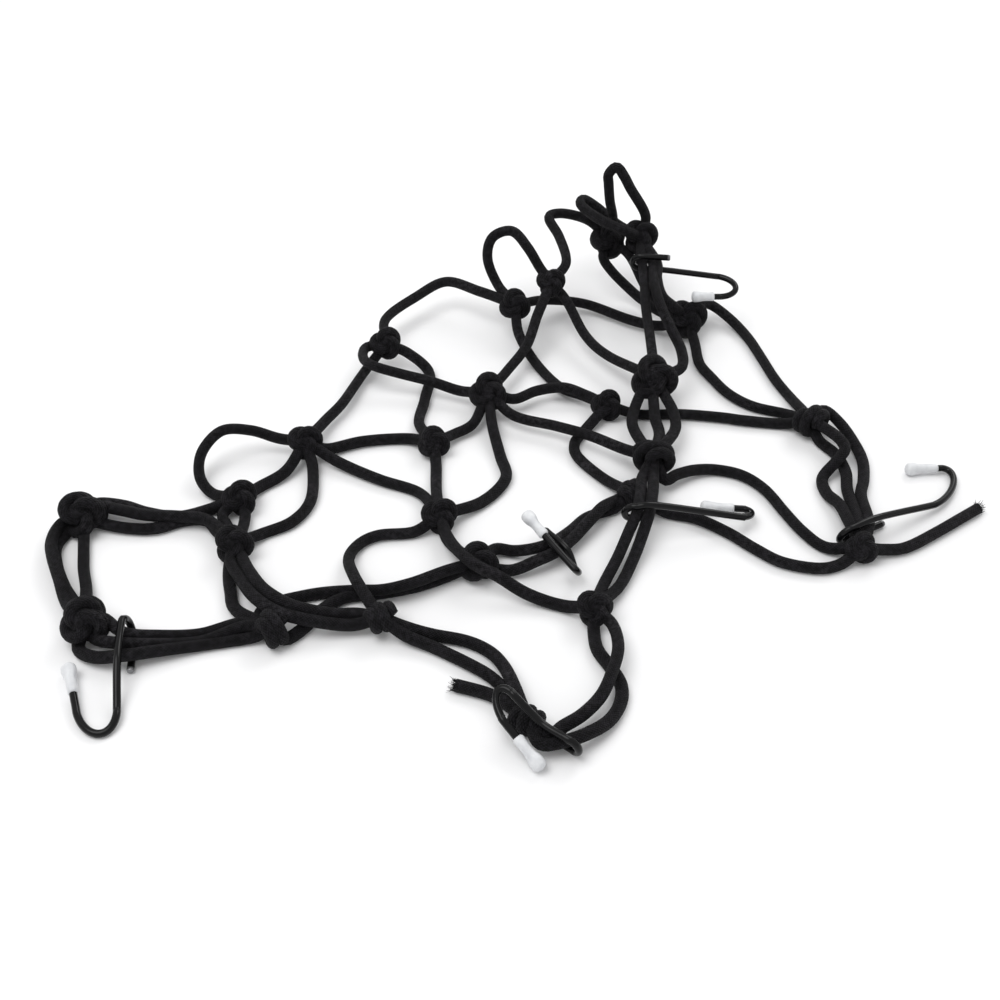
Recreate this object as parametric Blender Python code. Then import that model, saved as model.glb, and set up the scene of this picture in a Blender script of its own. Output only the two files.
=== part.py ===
# An elastic cargo net with six wire hooks, lying rumpled on a flat surface.
# Tables are in millimetres: x to the right, y to the back, z up, from the middle of the net.
import math

import bmesh
import bpy
from mathutils import Matrix, Vector

mm = 0.001
cordWidth = 4.5
cordHeight = 4.4
cordFlat = 0.5  # share of the width that is flat, above and below
ringSpacing = 18.0
turnStep = math.radians(55)
fineSteps = 12
rootOverlap = 2.0
knotSides = 8
knotRidges = (0.55, 1.0, 0.82, 1.04, 0.82, 1.0, 0.55)
knotHeightShare = 0.8
knotLengthShare = 0.92

wireRadius = 1.35
wireSides = 8
eyeClearance = 0.55
eyeInset = 2.0
shankStart = 1.0
stubOffset = 2.8
bendSteps = 10
wrapSteps = 7

capRadius = 2.25
capTipRadius = 2.6
capSwell = (0.4, 0.2)  # shares of the length, from the tip, between which the cap widens
capEndShare = 0.7
capTipLength = 0.9
capSides = 10
boreRadius = 1.77
boreEndGap = 0.3

sharpAngle = math.radians(50)
steepLevel = 0.5  # a path with less level run than this is steep, and its sides are carried along it

# Knots: x, y and height of the middle, width across, turn of the barrel in degrees from +x.
knots = {
    "frontLeft": (-153.4, -90.7, 8, 18, 60),
    "left": (-167.7, -34.2, 7, 18.6, 20),
    "leftUpper": (-109, -24, 6, 15, 10),
    "leftLower": (-107.4, -50.8, 7, 15.6, 0),
    "leftMiddle": (-87, 8, 8, 15, 120),
    "frontMiddleLeft": (-87.5, -92, 6, 15, 30),
    "frontUpright": (-50, -88, 7, 12, 15),
    "backLeft": (-58, 71, 12, 15, 60),
    "middleLeft": (-35, 10, 6, 14, 100),
    "middle": (-31, -34, 6, 15, 100),
    "middleLower": (-16, -60, 6.5, 16, 20),
    "middleBack": (-13, 39.8, 9, 17, 150),
    "backMiddle": (-1.3, 95.2, 16, 15, 30),
    "backRaised": (15, 104, 22, 14, 20),
    "middleRight": (37, 34.6, 6, 14, 0),
    "frontRight": (25.5, -83.5, 7, 14, 90),
    "front": (1, -132, 4.8, 11, 140),
    "rightBack": (57, 43, 14, 20.5, 100),
    "rightMiddle": (53, -5, 11, 17, 90),
    "rightSmall": (43.5, -20.3, 5.5, 11, 30),
    "topLeft": (42.7, 134, 26, 17.6, 110),
    "topRight": (56.5, 127, 32, 16.5, 90),
    "backRight": (77, 94.8, 9, 18.5, 120),
    "right": (121, 23, 7, 15, 130),
    "farRight": (127, -51.8, 6, 13, 90),
}

# Strands: from knot, to knot, then x, y and the height of the cord's underside along the way.
strands = [
    ("left", "leftLower", [(-163, -29, 4), (-154, -31, 4), (-144, -33.7, 4), (-132, -33.6, 3),
                           (-122, -34.5, 2.5), (-115, -40, 3)]),
    ("left", "leftUpper", [(-164, -25, 2), (-154, -25.2, 1), (-145, -28, 0), (-133, -30.5, 0),
                           (-122, -27, 0)]),
    ("left", "leftLower", [(-162, -35, 1), (-150, -37, 0), (-140, -37, 0), (-130, -33, 0), (-121, -33, 0),
                           (-115, -41, 1)]),
    ("left", "frontLeft", [(-175.2, -38, 3), (-176.3, -47, 3), (-173.4, -57, 4), (-168.7, -68, 3),
                           (-164, -78, 1)]),
    ("left", "frontLeft", [(-173.3, -39, 0), (-175.8, -47, 0), (-173.2, -57, 0), (-167.4, -68, 0),
                           (-160.4, -78, 1)]),
    ("left", "frontLeft", [(-166.4, -40, 1), (-164.5, -50, 0), (-162.4, -60, 0), (-158.4, -72, 1)]),
    ("frontLeft", "frontMiddleLeft", [(-148, -87, 3), (-139, -93.9, 3.3), (-128, -94, 2),
                                      (-114, -91.7, 0), (-100, -87.6, 1)]),
    ("frontLeft", "frontMiddleLeft", [(-149, -96, 2), (-139, -99, 3.3), (-127, -98, 2), (-113, -95, 0),
                                      (-99, -90, 2)]),
    ("frontLeft", "frontMiddleLeft", [(-155, -98.5, 0), (-148, -103.5, 1.5), (-138, -104.5, 3.3),
                                      (-126, -101.3, 2), (-112, -97, 0), (-96, -93.5, 0)]),
    ("leftUpper", "leftMiddle", [(-121, -17, 0), (-127, -10, 3), (-127, -1, 8), (-120, 7, 12),
                                 (-109, 11, 9), (-98, 11, 5)]),
    ("leftUpper", "leftMiddle", [(-103, -13, 0), (-94, -5, 1)]),
    ("leftMiddle", "leftLower", [(-83, -4, 1), (-82, -21, 0), (-88, -33, 0), (-99, -40, 0)]),
    ("leftUpper", "leftLower", [(-115, -31, 1.4), (-112, -38, 1.2)]),
    ("leftUpper", "leftLower", [(-106.5, -30, 1), (-106.5, -38, 1)]),
    ("leftLower", "frontMiddleLeft", [(-108.4, -60, 0), (-106, -70.3, 0), (-102.4, -80, 0)]),
    ("leftLower", "frontUpright", [(-107.5, -58.5, 3), (-102.5, -68, 4), (-95.4, -79.8, 6), (-86, -87, 6),
                                   (-73, -89.5, 4.5), (-60, -89, 2)]),
    ("leftLower", "frontUpright", [(-104, -56, 3), (-99, -66, 5), (-91.5, -77, 6.5), (-81, -84.5, 6.5),
                                   (-68, -86, 4.5), (-59, -84.5, 3)]),
    ("frontMiddleLeft", "middleLower", [(-83, -94, 0), (-77, -88, 0), (-72, -80, 0), (-64, -74, 0),
                                        (-52, -72, 0), (-38, -68, 0), (-26, -62, 0)]),
    ("frontMiddleLeft", "middleLower", [(-94, -82, 0), (-89, -76.5, 0), (-81, -73.5, 0), (-72, -71.5, 0),
                                        (-60, -71.5, 1), (-50, -74, 4), (-40, -71, 4.5), (-28, -64, 4)]),
    ("middle", "frontUpright", [(-41, -39, 0), (-54, -41, 0), (-61, -46, 0), (-64, -56, 2), (-61, -69, 6),
                                (-56, -79, 6)]),
    ("leftMiddle", "backLeft", [(-81, 25, 3), (-74, 38, 3), (-67, 61, 2), (-62, 67, 6)]),
    ("backLeft", "middleBack", [(-67, 70, 8), (-67, 61, 9), (-62, 54, 10), (-51, 51, 8), (-38, 48, 6),
                                (-25, 44, 4)]),
    ("backLeft", "middleLeft", [(-48, 68, 6), (-39, 62, 0), (-40, 43, 0), (-42, 27, 0)]),
    ("backLeft", "backMiddle", [(-59, 89, 10), (-47, 107, 10), (-33, 117, 12), (-17, 107, 13)]),
    ("backMiddle", "backRaised", [(-8.6, 108, 15.8), (-13.6, 115, 25.4), (-11.6, 120, 33.4),
                                  (-2.8, 121.6, 35.7), (4.6, 114, 31.6), (10.4, 109, 24)]),
    ("backMiddle", "backRight", [(13, 107.4, 8), (32, 112, 3), (52, 100.2, 2), (65, 94, 3)]),
    ("backMiddle", "middleRight", [(0.6, 83, 6), (7.6, 69.8, 0), (18, 51.5, 0.5), (27.5, 44.2, 1.2)]),
    ("backRaised", "middleBack", [(9, 88, 14), (4, 72, 8), (-5, 56, 6)]),
    ("backRaised", "topLeft", [(22, 114, 24), (19.3, 130, 27.6), (15, 141, 31.2), (20, 145, 31.4),
                               (28.5, 144, 30.6), (35, 139, 30)]),
    ("backRaised", "rightBack", [(21.6, 98.6, 14), (29.6, 80.6, 8), (39.6, 65.4, 7)]),
    ("middleBack", "middleRight", [(-2, 38.6, 4), (8, 44.4, 4), (19, 45.2, 5), (28, 42.6, 3)]),
    ("middleBack", "rightMiddle", [(-2, 27.2, 4), (15, 20.2, 4), (29, 11.2, 6), (42, 1.6, 7)]),
    ("middleBack", "middle", [(-11, 22, 3), (-8, 6, 0), (-6, -8, 0), (-15, -22, 0)]),
    ("middleBack", "middleLeft", [(-19, 25, 2), (-27, 19, 1)]),
    ("middleLeft", "leftMiddle", [(-47, 17, 0), (-64, 15, 0), (-78, 9, 1)]),
    ("middleLeft", "middle", [(-34, 1, 0), (-33, -15, 0)]),
    ("middle", "leftMiddle", [(-40, -17, 0), (-56, -9, 0), (-73, 1, 1)]),
    ("middle", "middleLower", [(-28, -43, 0), (-22, -51, 0)]),
    ("middle", "frontRight", [(-28, -45, 4), (-24, -56, 7), (-17, -66, 9), (-9, -69, 6.5), (2, -74, 2),
                              (14, -78, 0)]),
    ("middleLower", "rightSmall", [(-10, -49.5, 1), (-3, -50, 0.5), (5, -51.5, 3.2), (12.3, -48.3, 3.4),
                                   (19, -41, 2), (26, -31, 0), (36, -26, 0)]),
    ("middleLower", "rightSmall", [(-10, -59, 0), (-3, -60.5, 1), (5, -58, 3), (12.6, -53.5, 3.4),
                                   (20, -45.5, 3), (27, -36.5, 4), (32, -29, 3.5), (38, -22, 1)]),
    ("middleRight", "rightSmall", [(27.4, 22.4, 0), (23, 14, 0), (24, 5, 0), (33.4, -8.4, 0)]),
    ("middleRight", "right", [(51, 33, 0), (68, 33, 0), (85, 31, 0), (95, 29, 0), (110, 27, 0)]),
    ("rightBack", "rightMiddle", [(50.5, 35.5, 8), (47.2, 26.5, 6), (46.4, 18, 6), (49, 8.5, 6)]),
    ("rightBack", "rightMiddle", [(56, 33, 8), (56, 23, 6), (57, 12, 6)]),
    ("rightBack", "rightMiddle", [(61.2, 35, 8), (64, 25, 6), (63, 13.5, 6)]),
    ("topRight", "rightBack", [(56.2, 111, 26.6), (56.2, 98, 24), (56.2, 84, 21), (57, 68, 17)]),
    ("topRight", "rightBack", [(60.5, 111, 26.6), (60.5, 96, 26), (62.3, 82, 23), (66, 71, 18),
                               (70, 61, 13), (69, 51, 11)]),
    ("topLeft", "backRight", [(40, 127, 19), (44, 123, 14), (51, 121, 7), (58, 114, 4), (67, 103, 4)]),
    ("topLeft", "backRight", [(52, 123, 22), (59, 107, 14), (68, 97, 10)]),
    ("topRight", "backRight", [(62.8, 110.5, 26.6), (62, 99, 25), (64, 91, 21), (70, 91.5, 15)]),
    ("topLeft", "topRight", [(44.5, 138, 32), (42.3, 138, 42), (41.3, 138, 51), (41.2, 138, 55.6),
                             (44.7, 137, 59.6), (48.3, 136, 55.6), (51.5, 135, 50), (58.6, 131.5, 38.3)]),
    ("topRight", "topRight", [(50, 120.5, 36), (41, 126, 37), (33.5, 135, 37), (29.3, 142, 38),
                              (31.3, 146.5, 38), (38, 146, 34), (47, 140, 29)]),
    ("backRight", "right", [(84, 104, 8), (90, 107.6, 5), (98, 101.8, 1.5), (104, 90, 0), (108, 74, 0),
                            (112, 58.4, 0), (117, 44, 0)]),
    ("backRight", "right", [(79.2, 81, 2), (80.4, 69.4, 0), (84.6, 58.7, 0), (90.5, 47, 0),
                            (99.3, 38.8, 0), (112, 34, 0)]),
    ("right", "farRight", [(127.5, 29.6, 5), (133, 23.8, 3), (136.9, 14, 1), (138.9, 3, 0),
                           (137.2, -9, 0), (133.8, -20, 1), (132.3, -38, 3.3)]),
    ("right", "farRight", [(124, 18, 6), (128.7, 9.3, 7), (130.7, 3.3, 6), (127, -2, 4), (121, -8, 0),
                           (121, -17, 0), (124, -26, 2), (125, -37, 3.3)]),
    ("right", "farRight", [(123.5, 16, 0), (129, 7, 0), (131, -4, 0), (129, -17, 0.5),
                           (128.5, -38, 3.3)]),
    ("rightMiddle", "farRight", [(57, -12.5, 3), (62.5, -8.6, 2.4), (70, -4.4, 1.2), (79, -2.6, 0),
                                 (88.8, -6, 0), (96.4, -14.6, 0), (102.4, -28, 0), (108.2, -39.7, 0),
                                 (115, -47.8, 0)]),
    ("rightSmall", "farRight", [(56, -27.6, 0), (68, -31.7, 0), (79, -39.7, 0), (88, -48.7, 0),
                                (97, -55.7, 0), (110, -58.7, 0), (119, -56.5, 0)]),
    ("rightMiddle", "frontRight", [(47.6, -16, 7), (46.4, -26, 8.5), (44, -38, 8.6), (39.8, -47, 6),
                                   (35.4, -56, 3), (30, -68, 2)]),
    ("rightMiddle", "frontRight", [(51.8, -16, 7), (50.8, -26, 8.5), (48.7, -38, 8.6), (45.4, -47, 5),
                                   (41.4, -56, 2), (35.2, -69, 1)]),
    ("frontRight", "front", [(31.5, -90, 3), (32.5, -102, 5), (30, -113, 5), (26, -123, 4.5),
                             (19.5, -130.5, 3.7), (12.5, -135.5, 3.4), (8, -139.2, 3.4)]),
    ("frontRight", "front", [(25.2, -90.5, 0), (26.2, -99, 0), (30, -107, 0), (33, -115, 0),
                             (32.2, -122.7, 0), (27.8, -131, 1), (20.3, -138, 3.3), (12, -141.3, 3.3),
                             (5, -142, 3.4)]),
    ("frontUpright", "front", [(-42, -90, 2.5), (-32, -92, 0.5), (-20, -95, 0), (-12, -100, 0),
                               (-7, -108, 1.5), (-3, -119, 3)]),
    ("frontUpright", "front", [(-41, -94, 1.5), (-31, -98, 0), (-19, -105, 0), (-11, -111, 0),
                               (-5, -119, 0)]),
    ("farRight", None, [(136, -50, 1), (145, -48, 0), (158, -40, 0), (178, -26, 0)]),
    ("front", None, [(-6, -124, 1), (-12, -119, 0), (-23, -115, 0)]),
]

# Hooks: middle of the eye, width of cord it grips, over (1) or under (-1) the cord, side of the wire's
# end and how far it reaches past the grip, start, middle and end of the bend, tip, length of the cap.
hooks = [
    ((-139, -99.5, 5.5), 17.2, 1, 1, 0.5, (-136, -124, 3), (-140, -135, 1.5), (-150, -124, 2.5),
     (-156, -108, 3.5), 12),
    ((59.7, 111, 28.8), 11, -1, -1, 3.5, (89, 107.8, 23), (98, 100, 22), (89, 95.5, 20), (79, 95.5, 20), 9),
    ((12.5, -50.9, 5.6), 11.4, 1, 1, 0.5, (19.5, -60, 3.5), (20.5, -65, 6.5), (17.5, -66, 11.5),
     (2, -42.5, 14), 12),
    ((46.2, -38.6, 10.8), 9.6, 1, 1, 0, (83, -36.3, 7.5), (88.8, -31.6, 4.5), (86, -26.5, 2.6),
     (71, -25.6, 2.7), 12),
    ((128.6, -42.6, 5.5), 13.4, 1, 1, 7.5, (158.5, -26.5, 4), (172.3, -11.2, 2), (168, -2.2, 2.5),
     (156, -3, 2.6), 12),
    ((10.6, -141.2, 5.6), 10.6, 1, -1, 0, (-3, -130.5, 15), (-9, -128, 14), (-6.3, -137, 9.5),
     (5, -149, 2.6), 12),
]

up = Vector((0, 0, 1))


def clearScene():
    for item in list(bpy.data.objects):
        bpy.data.objects.remove(item, do_unlink=True)


def makeMaterial(name, color, roughness, metallic):
    material = bpy.data.materials.new(name)
    material.use_nodes = True
    shader = material.node_tree.nodes["Principled BSDF"]
    shader.inputs["Base Color"].default_value = (*color, 1)
    shader.inputs["Roughness"].default_value = roughness
    shader.inputs["Metallic"].default_value = metallic
    return material


def smoothPoint(a, b, c, d, t):
    # Catmull-Rom: the curve from b to c, with its slope at each from the points on both sides.
    square = 2 * a - 5 * b + 4 * c - d
    cube = 3 * b - a - 3 * c + d
    return 0.5 * (2 * b + t * (c - a) + t ** 2 * square + t ** 3 * cube)


def evenCurve(points, spacing):
    # A smooth curve through the points, read again at steps that shorten where it turns.
    padded = [2 * points[0] - points[1]] + points + [2 * points[-1] - points[-2]]
    fine = []
    for i in range(len(points) - 1):
        fine += [smoothPoint(*padded[i:i + 4], j / fineSteps) for j in range(fineSteps)]
    fine.append(points[-1])
    along = [0.0]
    for i in range(1, len(fine)):
        stretch = fine[i] - fine[i - 1]
        turn = stretch.angle(fine[i + 1] - fine[i], 0) if i < len(fine) - 1 else 0
        along.append(along[-1] + stretch.length / spacing + turn / turnStep)
    count = max(2, math.ceil(along[-1]))
    result = []
    j = 0
    for i in range(count + 1):
        wanted = along[-1] * i / count
        while j < len(fine) - 2 and along[j + 1] < wanted:
            j += 1
        share = (wanted - along[j]) / (along[j + 1] - along[j])
        result.append(fine[j].lerp(fine[j + 1], min(1, share)))
    return result


def tube(points, profile):
    # A closed tube: the profile's (side, up) pairs stand square to the path at each point.
    mesh = bmesh.new()
    rings = []
    side = None
    for i, point in enumerate(points):
        ahead = (points[min(i + 1, len(points) - 1)] - points[max(i - 1, 0)]).normalized()
        level = ahead.cross(up)
        if side is None:
            side = level.normalized()
        elif level.length > steepLevel:
            level.normalize()
            side = level if level.dot(side) > 0 else -level
        side = (side - ahead * side.dot(ahead)).normalized()
        above = side.cross(ahead)
        ring = []
        for s, u in profile:
            corner = point + side * s + above * u
            corner.z = max(0, corner.z)
            ring.append(mesh.verts.new(corner * mm))
        rings.append(ring)
    count = len(profile)
    for a, b in zip(rings, rings[1:]):
        for j in range(count):
            mesh.faces.new((a[j], a[(j + 1) % count], b[(j + 1) % count], b[j]))
    mesh.faces.new(rings[0])
    mesh.faces.new(rings[-1])
    bmesh.ops.recalc_face_normals(mesh, faces=mesh.faces)
    return mesh


def addObject(name, mesh, material):
    data = bpy.data.meshes.new(name)
    mesh.to_mesh(data)
    mesh.free()
    data.shade_smooth()
    data.set_sharp_from_angle(angle=sharpAngle)
    item = bpy.data.objects.new(name, data)
    bpy.context.scene.collection.objects.link(item)
    if material:
        data.materials.append(material)
    return item


def knotCentre(name):
    x, y, z = knots[name][:3]
    return Vector((x, y, z))


def cordProfile():
    # A flattened hexagon: its lowest side lies flat on what the cord rests on.
    halfWidth = cordWidth / 2
    halfHeight = cordHeight / 2
    shoulder = halfWidth * cordFlat
    return [(-halfWidth, 0), (-shoulder, halfHeight), (shoulder, halfHeight),
            (halfWidth, 0), (shoulder, -halfHeight), (-shoulder, -halfHeight)]


def strandPoints(start, end, via):
    points = [Vector((x, y, z + cordHeight / 2)) for x, y, z in via]
    first = knotCentre(start)
    points.insert(0, first + (points[0] - first).normalized() * rootOverlap)
    if end:
        last = knotCentre(end)
        points.append(last + (points[-1] - last).normalized() * rootOverlap)
    return evenCurve(points, ringSpacing)


def knotBody(name):
    # A barrel with raised wraps: rings of changing radius along the turned axis, flat where it rests.
    x, y, z, across, turn = knots[name]
    axis = Vector((math.cos(math.radians(turn)), math.sin(math.radians(turn)), 0))
    side = up.cross(axis)
    mesh = bmesh.new()
    rings = []
    for i, ridge in enumerate(knotRidges):
        along = (i / (len(knotRidges) - 1) - 0.5) * across * knotLengthShare
        ring = []
        for j in range(knotSides):
            angle = 2 * math.pi * (j + 0.5) / knotSides
            radius = across / 2 * ridge
            lift = z + radius * knotHeightShare * math.sin(angle)
            place = Vector((x, y, 0)) + axis * along + side * radius * math.cos(angle)
            ring.append(mesh.verts.new((place.x * mm, place.y * mm, max(0, lift) * mm)))
        rings.append(ring)
    for a, b in zip(rings, rings[1:]):
        for j in range(knotSides):
            mesh.faces.new((a[j], a[(j + 1) % knotSides], b[(j + 1) % knotSides], b[j]))
    mesh.faces.new(rings[0])
    mesh.faces.new(rings[-1])
    bmesh.ops.recalc_face_normals(mesh, faces=mesh.faces)
    return mesh


def makeNet(material):
    pieces = bpy.data.collections.new("netPieces")
    bpy.context.scene.collection.children.link(pieces)
    solids = [tube(strandPoints(*strand), cordProfile()) for strand in strands]
    solids += [knotBody(name) for name in knots]
    for i, solid in enumerate(solids[1:]):
        piece = addObject("netPiece%02d" % i, solid, None)
        bpy.context.scene.collection.objects.unlink(piece)
        pieces.objects.link(piece)
        piece.hide_render = True
        piece.display_type = "WIRE"
    net = addObject("net", solids[0], material)
    union = net.modifiers.new("union", "BOOLEAN")
    union.operation = "UNION"
    union.solver = "EXACT"
    union.operand_type = "COLLECTION"
    union.collection = pieces
    return net


def hookPath(eye, grip, over, stubSide, stub, bendStart, bendMiddle, bendEnd, tip):
    # The wire's middle line: its end beside the cord, half a turn round the cord, the shank,
    # half an ellipse as the bend, and the straight leg to the tip.
    middle, start, apex, end, point = (Vector(p) for p in (eye, bendStart, bendMiddle, bendEnd, tip))
    lift = cordHeight / 2 + eyeClearance + wireRadius
    ahead = Vector((start.x - middle.x, start.y - middle.y, 0)).normalized()
    side = up.cross(ahead) * stubSide
    path = [middle + ahead * (grip / 2 + stub) - up * lift * over + side * stubOffset]
    for i in range(wrapSteps):
        t = math.pi * i / (wrapSteps - 1)
        reach = grip / 2 - eyeInset + lift * math.sin(t)
        rise = lift * over * math.cos(t)
        path.append(middle - ahead * reach - up * rise + side * stubOffset * (1 - t / math.pi))
    path.append(middle + ahead * (grip / 2 + shankStart) + up * lift * over)
    centre = (start + end) / 2
    for i in range(bendSteps + 1):
        t = math.pi * i / bendSteps
        path.append(centre + (start - centre) * math.cos(t) + (apex - centre) * math.sin(t))
    path.append(point)
    return path


def roundProfile(radius, sides):
    return [(radius * math.cos(2 * math.pi * i / sides), radius * math.sin(2 * math.pi * i / sides))
            for i in range(sides)]


def makeHook(name, hook, material):
    path = hookPath(*hook[:-1])
    return addObject(name, tube(path, roundProfile(wireRadius, wireSides)), material)


def makeCap(name, hook, material):
    # A sleeve with a blind bore, on the last stretch of the straight leg.
    end, tip, length = Vector(hook[-3]), Vector(hook[-2]), hook[-1]
    ahead = (tip - end).normalized()
    profile = [
        (boreRadius, boreEndGap),
        (boreRadius, -length),
        (capRadius, -length),
        (capRadius, -length * capSwell[0]),
        (capTipRadius, -length * capSwell[1]),
        (capTipRadius, boreEndGap),
        (capTipRadius * capEndShare, boreEndGap + capTipLength),
    ]
    side = ahead.cross(up).normalized()
    above = side.cross(ahead)
    mesh = bmesh.new()
    rings = []
    for radius, along in profile:
        ring = []
        for i in range(capSides):
            angle = 2 * math.pi * i / capSides
            place = tip + ahead * along + (side * math.cos(angle) + above * math.sin(angle)) * radius
            ring.append(mesh.verts.new(place * mm))
        rings.append(ring)
    for a, b in zip(rings, rings[1:]):
        for j in range(capSides):
            mesh.faces.new((a[j], a[(j + 1) % capSides], b[(j + 1) % capSides], b[j]))
    mesh.faces.new(rings[0])
    mesh.faces.new(rings[-1])
    bmesh.ops.recalc_face_normals(mesh, faces=mesh.faces)
    return addObject(name, mesh, material)


clearScene()
cordMaterial = makeMaterial("cord", (0.012, 0.012, 0.013), 0.8, 0)
wireMaterial = makeMaterial("wire", (0.02, 0.02, 0.021), 0.25, 0)
capMaterial = makeMaterial("cap", (0.75, 0.75, 0.76), 0.4, 0)
makeNet(cordMaterial)
for number, hook in enumerate(hooks, start=1):
    makeHook("hook_%d" % number, hook, wireMaterial)
    makeCap("cap_%d" % number, hook, capMaterial)
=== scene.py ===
import math

import bpy
import numpy as np
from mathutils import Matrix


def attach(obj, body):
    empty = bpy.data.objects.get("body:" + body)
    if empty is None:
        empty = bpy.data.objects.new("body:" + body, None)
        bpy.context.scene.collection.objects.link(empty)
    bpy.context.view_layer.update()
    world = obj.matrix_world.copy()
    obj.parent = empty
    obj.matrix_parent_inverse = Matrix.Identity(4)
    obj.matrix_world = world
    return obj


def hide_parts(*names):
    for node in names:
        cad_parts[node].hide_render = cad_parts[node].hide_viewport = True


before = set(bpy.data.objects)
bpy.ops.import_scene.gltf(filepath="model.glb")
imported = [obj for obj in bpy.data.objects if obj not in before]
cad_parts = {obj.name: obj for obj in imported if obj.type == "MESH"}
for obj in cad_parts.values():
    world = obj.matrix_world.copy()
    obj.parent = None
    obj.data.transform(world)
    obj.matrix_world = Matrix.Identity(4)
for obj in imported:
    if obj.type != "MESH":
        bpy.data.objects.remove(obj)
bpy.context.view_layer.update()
print("frame loaded:", len(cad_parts), "nodes")

mm = 0.001
up = np.array((0.0, 0.0, 1.0))

# Lengths are in millimetres: x to the right, y to the back, z up, from the middle of the net.
# Knots: x, y and height of the middle, and width across.
knots = {
    "frontLeft": (-153.4, -90.7, 8, 18),
    "left": (-167.7, -34.2, 7, 18.6),
    "leftUpper": (-109, -24, 6, 15),
    "leftLower": (-107.4, -50.8, 7, 15.6),
    "leftMiddle": (-87, 8, 8, 15),
    "frontMiddleLeft": (-87.5, -92, 6, 15),
    "frontUpright": (-50, -88, 7, 12),
    "backLeft": (-58, 71, 12, 15),
    "middleLeft": (-35, 10, 6, 14),
    "middle": (-31, -34, 6, 15),
    "middleLower": (-16, -60, 6.5, 16),
    "middleBack": (-13, 39.8, 9, 17),
    "backMiddle": (-1.3, 95.2, 16, 15),
    "backRaised": (15, 104, 22, 14),
    "middleRight": (37, 34.6, 6, 14),
    "frontRight": (25.5, -83.5, 7, 14),
    "front": (1, -132, 4.8, 11),
    "rightBack": (57, 43, 14, 20.5),
    "rightMiddle": (53, -5, 11, 17),
    "rightSmall": (43.5, -20.3, 5.5, 11),
    "topLeft": (42.7, 134, 26, 17.6),
    "topRight": (56.5, 127, 32, 16.5),
    "backRight": (77, 94.8, 9, 18.5),
    "right": (121, 23, 7, 15),
    "farRight": (127, -51.8, 6, 13),
}

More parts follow.
